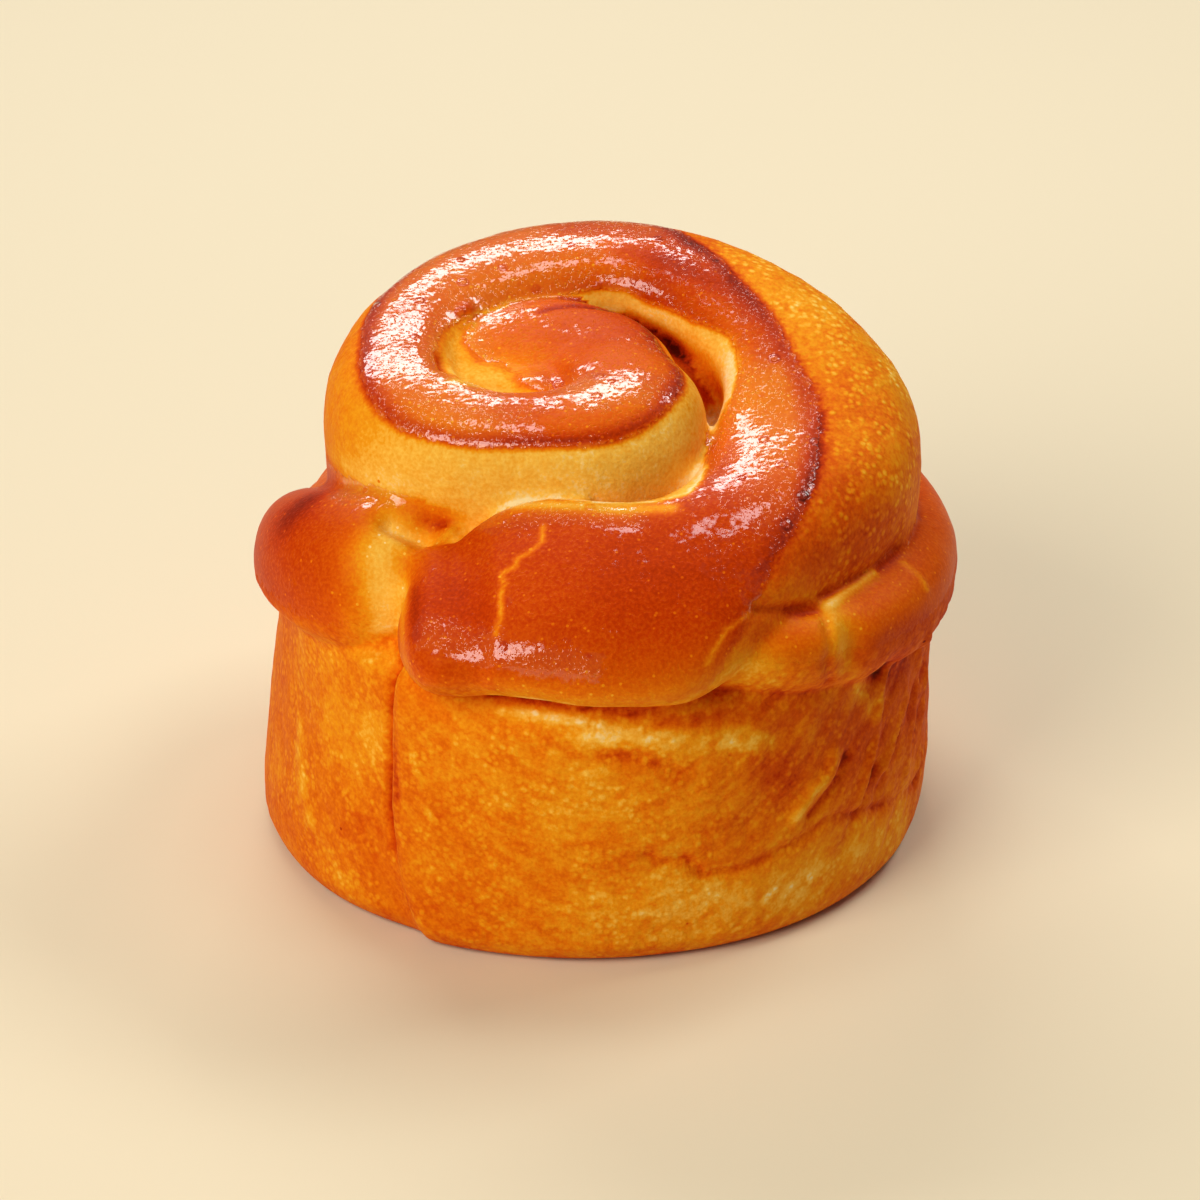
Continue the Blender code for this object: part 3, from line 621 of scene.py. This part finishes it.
    Mark(0.12, 0.0, 2.4, [(19.7, -37.6, 45), (22.5, -36, 43)]),
    # painted highlight along the collar's top ridge
    Mark(-0.28, 0.5, 0.7, [(34, -21.1, 44.7), (30.8, -25.8, 44.9), (28.2, -29.6, 45.2)]),
    Mark(-0.24, 0.2, 0.5, [(37.9, -17.1, 44.1), (40.9, -19.4, 41.8)]),
    Mark(0.12, 0.0, 1.6, [(31.5, -31, 39.3), (35.9, -28.2, 40.2), (40.8, -21.5, 38.9)]),
]
MARK_LUMPS = 1.8                       # the wall's marks come and go in lumps of this size
MOST_SHINE = 1.3
FOOT_BROWN = 0.2                       # the very foot, against the tin's floor
FOOT_HEIGHTS = (1.6, 0.6)


def along_mark(points, mark):
    """1 on the mark's line of points, falling to nothing over about two radii."""
    line = np.array(mark.points, float)
    if len(line) == 1:
        return np.exp(-(np.linalg.norm(points - line[0], axis=1) / mark.radius) ** 2)
    nearest = np.full(len(points), 1e9)
    for a, b in zip(line, line[1:]):
        share = np.clip(((points - a) @ (b - a)) / ((b - a) @ (b - a)), 0, 1)
        nearest = np.minimum(nearest, np.linalg.norm(points - a - share[:, None] * (b - a), axis=1))
    return np.exp(-(nearest / mark.radius) ** 2)


def noise_at(points, size, seed):
    """Smooth noise between about -1 and 1 whose lumps are this many millimetres wide."""
    shift = Vector((seed * 13.7, seed * 5.1, seed * 9.3))
    return np.array([noise.noise(Vector(p) / size + shift) for p in points])


raised = np.zeros(count)
patchy = np.clip(0.8 + 0.9 * noise_at(points, MARK_LUMPS, 5), 0.2, 1.2)
for mark in MARKS:
    near = along_mark(points, mark)
    brown += mark.brown * near * (1 + (patchy - 1) * to_wall)
    raised += mark.raised * near
    shine += mark.shine * near
shine = np.clip(shine, 0.0, MOST_SHINE)
brown += FOOT_BROWN * ramp(height, *FOOT_HEIGHTS)

# the wall's skin was drawn out along lines that hang like a bowl: level at the front and steeper to
# each side
FRONT = 270
FLOW_BOWL = 0.019
FLOW_STEEPEST = 30.0                   # how far round from the front the lines stop getting steeper
DRAWN_MOST = (285, 70)
around = np.radians(angle_between(azimuth, FRONT)) * radius
bowl = np.minimum(np.abs(around), FLOW_STEEPEST)
flow = height - FLOW_BOWL * bowl * (2 * np.abs(around) - bowl)
drawn = to_wall * bump(azimuth, *DRAWN_MOST)

# relief: slow lumps in the dough, finer unevenness of the skin, wrinkles down the right of the wall,
# and the brushed skin standing just proud of the pale flank
BIG_LUMPS, SMALL_LUMPS, UNEVENNESS = 9.0, 3.2, 1.5
WRINKLE_LENGTH, WRINKLE_SPACING = 9.0, 3.6
WRINKLED_MOST = (336, 24)
WRINKLED_ABOVE, WRINKLED_BELOW = (4.0, 10.0), (39.0, 34.0)
WRINKLE_HEIGHT = 1.4
WRINKLE_PAINTED_LIGHT = 0.25
WRINKLE_PASSES = 3
SKIN_STEP = 0.10
SKIN_EDGE = 0.25
FLAT_FOOT = (0.8, 3.0)                 # the tin's floor pressed the relief out of the foot
brushed = ramp(inside, -1.0, 1.0)
lumps = noise_at(points, BIG_LUMPS, 1) * (0.30 - 0.12 * brushed)
lumps += noise_at(points, SMALL_LUMPS, 2) * (0.10 - 0.05 * brushed)
fine = noise_at(points, UNEVENNESS, 3) * (0.05 - 0.03 * brushed)
on_right = bump(azimuth, *WRINKLED_MOST) * ramp(height, *WRINKLED_ABOVE) * ramp(height, *WRINKLED_BELOW)
wrinkle_places = np.c_[around / WRINKLE_LENGTH, flow / WRINKLE_SPACING, radius * 0]
wrinkles = 0.25 - np.abs(noise_at(wrinkle_places, 1.0, 4)) * 1.1
wrinkles = blurred(wrinkles, WRINKLE_PASSES)
relief = (lumps + fine + WRINKLE_HEIGHT * on_right * wrinkles) * ramp(height, *FLAT_FOOT)
relief += SKIN_STEP * ramp(inside, -SKIN_EDGE, SKIN_EDGE) * on_snail + raised
# the wrinkles' ridges are painted paler and their grooves darker: painted highlight and painted shade
brown -= WRINKLE_PAINTED_LIGHT * on_right * wrinkles

normals = np.empty(count * 3, np.float32)
mesh.vertex_normals.foreach_get("vector", normals)
normals = normals.reshape(-1, 3)
points += normals * relief[:, None]
mesh.vertices.foreach_set("co", points.ravel())

# the folds are painted darker, as painted shade, where a point lies lower than its neighbours
FOLD_PAINTED_SHADE = 0.30
FOLD_DEPTHS = (0.012, 0.05)
FOLD_HEIGHTS = (50.0, 44.0)
FOLD_PASSES = 8
hollow = blurred(((neighbours_mean(points) - points) * normals).sum(axis=1), FOLD_PASSES)
brown += FOLD_PAINTED_SHADE * ramp(hollow, *FOLD_DEPTHS) * ramp(height, *FOLD_HEIGHTS)

# pale speckle on the wall and on the unbrushed flank at the right of the ring
SPECKLED_TURNS = np.array([(-270, 0.0), (-320, 1.0), (-395, 1.0), (-410, 0.0)])
WALL_SPECKLE = 0.6
speckle = np.where(on_snail, ramp(inside, 0.3, -0.3) * by_turn(SPECKLED_TURNS), 0.0)
speckle = np.maximum(speckle * ramp(flank, -0.1, 0.0), WALL_SPECKLE * to_wall)

# the egg is crisply wrinkled on the coils, and half as much where it lies thickly elsewhere
CRISP_TURNS = (-402, -385)
crisp = np.maximum(on_snail * ramp(turn, *CRISP_TURNS), 0.5 * ramp(shine, 0.5, 1.0))


def write_field(mesh, name, values, kind="FLOAT", key="value"):
    """Keeps values, one row per vertex, as an attribute that the material reads."""
    attribute = mesh.attributes.new(name, kind, "POINT")
    attribute.data.foreach_set(key, np.ascontiguousarray(values, np.float32).ravel())


write_field(mesh, "brown", brown)
write_field(mesh, "glaze", inside)
write_field(mesh, "speckle", speckle)
write_field(mesh, "crisp", crisp)
write_field(mesh, "drawn", drawn)
write_field(mesh, "flow", np.c_[around, flow, radius * 0], "FLOAT_VECTOR", "vector")
write_field(mesh, "shine", shine)

# the underside is cut flat, and the roll is brought to metres in the part's place
FOOT_CUT = 0.35
bm = bmesh.new()
bm.from_mesh(mesh)
bmesh.ops.bisect_plane(bm, geom=bm.verts[:] + bm.edges[:] + bm.faces[:], dist=TOUCHING,
                       plane_co=(0, 0, FOOT_CUT), plane_no=(0, 0, -1), clear_outer=True)
bmesh.ops.holes_fill(bm, edges=[e for e in bm.edges if e.is_boundary])
bmesh.ops.triangulate(bm, faces=[f for f in bm.faces if len(f.verts) > 4])
bmesh.ops.recalc_face_normals(bm, faces=bm.faces[:])
bmesh.ops.translate(bm, vec=[-a for a in TIN_AXIS], verts=bm.verts[:])
bmesh.ops.scale(bm, vec=[MILLIMETRE] * 3, verts=bm.verts[:])
bm.to_mesh(mesh)
bm.free()
mesh.shade_smooth()


def to_linear(code):
    """A colour written as sRGB hex, in the linear values that Blender takes."""
    values = [int(code[i:i + 2], 16) / 255 for i in (1, 3, 5)]
    return [v / 12.92 if v <= 0.04045 else ((v + 0.055) / 1.055) ** 2.4 for v in values] + [1.0]


# The skin is milk dough baked brown, brushed with beaten egg before it went in. The dough is matte
# with a fine grain: cream where it stayed soft, through gold and orange to a dark red-brown. The egg
# dried to a clear film: glossy, patchy, wrinkled, with burst blisters and pinpricks.
BAKED = [(0.0, "#FFE5A6"), (0.14, "#FFC54C"), (0.30, "#F59E16"), (0.44, "#EC7A08"), (0.58, "#DC5803"),
         (0.72, "#C43800"), (0.86, "#982000"), (1.0, "#560C00")]
SHEEN_OF_DOUGH = "#FFB878"
DOUGH_ROUGHNESS, GLAZED_ROUGHNESS = 0.65, 0.45
EGG_ROUGHNESS = 0.04
EGG_IOR = 1.6                          # dried egg, about 1.54, raised to match its bright gloss

# uneven patterns: how wide their lumps are in millimetres, and how many finer layers they carry; the
# real grain and crinkles are about 0.2 mm wide, and are drawn as coarse as they need to show
PATTERNS = {
    "clouds": (9.0, 2.0), "mottle": (1.3, 3.0), "grain": (0.45, 2.0), "brushed edge": (1.0, 2.0),
    "clusters": (3.5, 2.0), "egg film": (0.8, 3.0), "egg patches": (4.0, 2.0),
    "wrinkles": (1.1, 1.0), "crinkles": (0.45, 1.0), "rough dough": (0.8, 4.0),
}
# scattered spots: how many millimetres apart they are, and how unevenly they lie; the distance from
# the nearest spot comes out as a share of this spacing
SPOTS = {"pale spots": (1.0, 0.9), "blisters": (5.0, 1.0), "pores": (7.0, 1.0), "pinpricks": (1.5, 1.0)}
STREAKS_PER_MM = (0.16, 0.50, 1.0)     # along the drawn-out skin and across it

# how much browner each pattern makes the skin, below zero paler
FRINGE_BROWN = 0.13
SPOT_BROWN = -0.17
BLISTER_BROWN = 0.10
PORE_BROWN = 0.30
PINPRICK_BROWN = -0.18

# how high each pattern stands, in tenths of a millimetre
BUMP_UNIT = 0.1 * MILLIMETRE
WRINKLE_BUMP = 1.3
CRINKLE_BUMP = 0.75
BLISTER_BUMP = 1.6
SPOT_BUMP = 0.35
DOUGH_BUMP, GLAZED_DOUGH_BUMP = 1.6, 0.1
DULL_EGG_SHARE, CRISP_EGG_SHARE = 0.30, 0.80           # of the egg's bumps

crust = bpy.data.materials.new("baked_crust")
crust.use_nodes = True
nodes = crust.node_tree.nodes
links = crust.node_tree.links
shader = nodes["Principled BSDF"]


def per_mm(size):
    """The texture scale that gives lumps of this many millimetres in object coordinates."""
    return 1000.0 / size


def add(kind, inputs=(), output=0, **settings):
    """Adds a node and gives one of its outputs.

    The inputs go by name, or in their order. Each is a value, or another node's output to link.
    """
    node = nodes.new("ShaderNode" + kind)
    for name, value in settings.items():
        setattr(node, name, value)
    for name, value in inputs.items() if isinstance(inputs, dict) else enumerate(inputs):
        if isinstance(value, bpy.types.NodeSocket):
            links.new(value, node.inputs[name])
        else:
            node.inputs[name].default_value = value
    return node.outputs[output]


EASED = {"interpolation_type": "SMOOTHSTEP"}
where = add("TexCoord", output="Object")
field = {name: add("Attribute", output="Fac", attribute_name=name)
         for name in ("brown", "glaze", "speckle", "crisp", "shine", "drawn")}
pattern = {name: add("TexNoise", {"Vector": where, "Scale": per_mm(size), "Detail": detail})
           for name, (size, detail) in PATTERNS.items()}
away = {name: add("TexVoronoi", {"Vector": where, "Scale": per_mm(apart), "Randomness": unevenness})
        for name, (apart, unevenness) in SPOTS.items()}

# the brushed edge is ragged, and bakes darkest just outside it
ragged = add("MapRange", (pattern["brushed edge"], 0.2, 0.8, -0.35, 0.35), **EASED)
edge = add("Math", (field["glaze"], ragged), operation="ADD")
glazed = add("MapRange", (edge, -0.12, 0.12, 0.0, 1.0), **EASED)
outside_edge = add("MapRange", (edge, -1.1, -0.1, 0.0, 1.0), **EASED)
across_edge = add("MapRange", (edge, 0.25, -0.05, 0.0, 1.0), **EASED)
fringe = add("Math", (outside_edge, across_edge), operation="MULTIPLY")
fringe = add("Math", (fringe, field["crisp"]), operation="MULTIPLY")

# clouds, mottle, grain and the drawn-out streaks of the wall
clouds = add("MapRange", (pattern["clouds"], 0.25, 0.75, -0.06, 0.06), **EASED)
mottle = add("MapRange", (pattern["mottle"], 0.25, 0.75, -0.04, 0.04), **EASED)
cloudy = add("Math", (clouds, mottle), operation="ADD")
more_on_wall = add("Math", (field["speckle"], 0.5, 0.75), operation="MULTIPLY_ADD")
cloudy = add("Math", (cloudy, more_on_wall), operation="MULTIPLY")
less_if_glazed = add("MapRange", (glazed, 0.0, 1.0, 1.0, 0.35), **EASED)
level = add("Math", (cloudy, less_if_glazed, field["brown"]), operation="MULTIPLY_ADD")
grain = add("MapRange", (pattern["grain"], 0.25, 0.75, -0.05, 0.05), **EASED)
level = add("Math", (level, grain), operation="ADD")
flow_lines = add("Attribute", output="Vector", attribute_name="flow")
flow_lines = add("Mapping", {"Vector": flow_lines, "Scale": STREAKS_PER_MM})
streaks = add("TexNoise", {"Vector": flow_lines, "Scale": 1.0, "Detail": 3.0})
streaks = add("MapRange", (streaks, 0.3, 0.7, -0.06, 0.06), **EASED)
level = add("Math", (streaks, field["drawn"], level), operation="MULTIPLY_ADD")
level = add("Math", (fringe, FRINGE_BROWN, level), operation="MULTIPLY_ADD")

# clusters of pale spots on the matte skin, and pores in it
spots = add("MapRange", (away["pale spots"], 0.60, 0.15, -0.30, 1.0), **EASED)
clusters = add("MapRange", (pattern["clusters"], 0.40, 0.60, 0.25, 1.0), **EASED)
spots = add("Math", (spots, clusters), operation="MULTIPLY")
spots = add("Math", (spots, field["speckle"]), operation="MULTIPLY")
level = add("Math", (spots, SPOT_BROWN, level), operation="MULTIPLY_ADD")
unglazed = add("MapRange", (glazed, 0.0, 1.0, 1.0, 0.0), **EASED)
pores = add("MapRange", (away["pores"], 0.045, 0.02, 0.0, 1.0), **EASED)
pores = add("Math", (pores, unglazed), operation="MULTIPLY")
level = add("Math", (pores, PORE_BROWN, level), operation="MULTIPLY_ADD")

# brown rings round the burst blisters where the egg is thick, and pale pinpricks through the film
rings = add("MapRange", (away["blisters"], 0.20, 0.15, 0.0, 1.0), **EASED)
open_middle = add("MapRange", (away["blisters"], 0.07, 0.12, 0.0, 1.0), **EASED)
rings = add("Math", (rings, open_middle), operation="MULTIPLY")
thick_egg = add("MapRange", (field["shine"], 0.6, 0.9, 0.0, 1.0), **EASED)
thick_egg = add("Math", (glazed, thick_egg), operation="MULTIPLY")
rings = add("Math", (rings, thick_egg), operation="MULTIPLY")
level = add("Math", (rings, BLISTER_BROWN, level), operation="MULTIPLY_ADD")
pinpricks = add("MapRange", (away["pinpricks"], 0.17, 0.08, 0.0, 1.0), **EASED)
pinpricks = add("Math", (pinpricks, glazed), operation="MULTIPLY")
level = add("Math", (pinpricks, PINPRICK_BROWN, level), operation="MULTIPLY_ADD")

# the colour follows the browning level, painted shade and painted highlights included
colour = add("ValToRGB", (level,))
stops = colour.node.color_ramp.elements
while len(stops) < len(BAKED):
    stops.new(0.5)
for stop, (position, code) in zip(stops, BAKED):
    stop.position = position
    stop.color = to_linear(code)
links.new(colour, shader.inputs["Base Color"])

# dough under a film of egg that lies in patches
roughness = add("MapRange", (glazed, 0.0, 1.0, DOUGH_ROUGHNESS, GLAZED_ROUGHNESS), **EASED)
links.new(roughness, shader.inputs["Roughness"])
egg = add("Math", (pattern["egg patches"], 0.9, pattern["egg film"]), operation="MULTIPLY_ADD")
egg = add("Math", (egg, field["shine"]), operation="ADD")
egg = add("MapRange", (egg, 1.52, 1.76, 0.0, 1.0), **EASED)
egg = add("Math", (glazed, egg), operation="MULTIPLY")
links.new(egg, shader.inputs["Coat Weight"])
shader.inputs["Coat Roughness"].default_value = EGG_ROUGHNESS
shader.inputs["Coat IOR"].default_value = EGG_IOR
shader.inputs["Specular IOR Level"].default_value = 0.1
shader.inputs["Specular Tint"].default_value = to_linear(SHEEN_OF_DOUGH)
shader.inputs["Metallic"].default_value = 0.0

# the egg's wrinkles, crinkles and blisters, and the dough's own roughness and spots
crinkles = add("MapRange", (pattern["crinkles"], 0.30, 0.44, 0.0, 1.0), **EASED)
crinkles = add("Math", (crinkles, CRINKLE_BUMP), operation="MULTIPLY")
skin = add("Math", (pattern["wrinkles"], WRINKLE_BUMP, crinkles), operation="MULTIPLY_ADD")
domes = add("MapRange", (away["blisters"], 0.16, 0.06, 0.0, 1.0), **EASED)
skin = add("Math", (domes, BLISTER_BUMP, skin), operation="MULTIPLY_ADD")
crispness = add("MapRange", (field["crisp"], 0.0, 1.0, DULL_EGG_SHARE, CRISP_EGG_SHARE), **EASED)
crispness = add("Math", (glazed, crispness), operation="MULTIPLY")
skin = add("Math", (skin, crispness), operation="MULTIPLY")
dough = add("MapRange", (glazed, 0.0, 1.0, DOUGH_BUMP, GLAZED_DOUGH_BUMP), **EASED)
skin = add("Math", (pattern["rough dough"], dough, skin), operation="MULTIPLY_ADD")
skin = add("Math", (spots, SPOT_BUMP, skin), operation="MULTIPLY_ADD")
bumps = add("Bump", {"Height": skin, "Distance": BUMP_UNIT, "Strength": 1.0})
links.new(bumps, shader.inputs["Normal"])
links.new(bumps, shader.inputs["Coat Normal"])

mesh.materials.append(crust)
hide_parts("milk_roll")
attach(roll, "root")


# ---------------------------------------------------------------------------------------------
# The studio: a floor of plain pale paper, four soft boxes and a faint even surround. The boxes behind
# and above draw the highlights along the coils, and the front one lights the lobe and the wall.
# ---------------------------------------------------------------------------------------------
FLOOR_SIZE = 6.0
FLOOR_GAP = 0.0002                     # keeps the floor and the roll's flat foot apart
bpy.ops.mesh.primitive_plane_add(size=FLOOR_SIZE, location=(0.0, 0.0, -FLOOR_GAP))
floor = bpy.context.object
floor.name = "floor"
paper = bpy.data.materials.new("pale_paper")
paper.use_nodes = True
paper_shader = paper.node_tree.nodes["Principled BSDF"]
paper_shader.inputs["Base Color"].default_value = to_linear("#ECDDBC")
paper_shader.inputs["Roughness"].default_value = 0.9
floor.data.materials.append(paper)

LIT_POINT = Vector((0.0, 0.0, 0.045))
# azimuth (0 is behind the camera, 180 behind the roll), elevation, distance, width and height, power
SOFT_BOXES = {
    "right_back_softbox": (120.0, 49.0, 0.60, (0.26, 0.16), 1.30, "#FFFFFF"),
    "back_softbox": (197.0, 41.0, 0.60, (0.38, 0.13), 1.40, "#FFFFFF"),
    "top_softbox": (180.0, 80.0, 0.60, (0.26, 0.12), 0.52, "#FFFFFF"),
    "front_left_softbox": (-42.0, 36.0, 0.70, (0.42, 0.42), 3.5, "#FFFAF2"),
}
for name, (direction, above, distance, size, power, tint) in SOFT_BOXES.items():
    light = bpy.data.lights.new(name, "AREA")
    light.shape = "RECTANGLE"
    light.size, light.size_y = size
    light.energy = power
    light.color = to_linear(tint)[:3]
    lamp = bpy.data.objects.new(name, light)
    a, e = math.radians(direction), math.radians(above)
    backwards = Vector((math.sin(a) * math.cos(e), -math.cos(a) * math.cos(e), math.sin(e)))
    lamp.location = LIT_POINT + backwards * distance
    lamp.rotation_mode = "QUATERNION"
    lamp.rotation_quaternion = backwards.to_track_quat("Z", "Y")
    bpy.context.scene.collection.objects.link(lamp)

world = bpy.data.worlds.new("studio")
world.use_nodes = True
surround = world.node_tree.nodes["Background"]
surround.inputs["Color"].default_value = to_linear("#FFFDF8")
surround.inputs["Strength"].default_value = 0.10
bpy.context.scene.world = world
bpy.context.scene.view_settings.view_transform = "Standard"


# ---------------------------------------------------------------------------------------------
# The camera looks down at the roll's middle from the front, with no turn to either side.
# ---------------------------------------------------------------------------------------------
CAMERA_DISTANCE = 0.700
CAMERA_ELEVATION = 30.0
CAMERA_AIM = Vector((0.4, 0.0, 28.9)) - Vector(TIN_AXIS)
PIXEL = 0.128                          # millimetres at the aim
IMAGE_WIDTH = 1200
SENSOR = 36.0
lens = bpy.data.cameras.new("camera")
lens.sensor_width = SENSOR
lens.lens = SENSOR * CAMERA_DISTANCE / (IMAGE_WIDTH * PIXEL * MILLIMETRE)
lens.clip_start = 0.01
camera = bpy.data.objects.new("camera", lens)
tilt = math.radians(CAMERA_ELEVATION)
backwards = Vector((0.0, -math.cos(tilt), math.sin(tilt)))
camera.location = CAMERA_AIM * MILLIMETRE + backwards * CAMERA_DISTANCE
camera.rotation_euler = (math.radians(90.0 - CAMERA_ELEVATION), 0.0, 0.0)
bpy.context.scene.collection.objects.link(camera)
bpy.context.scene.camera = camera
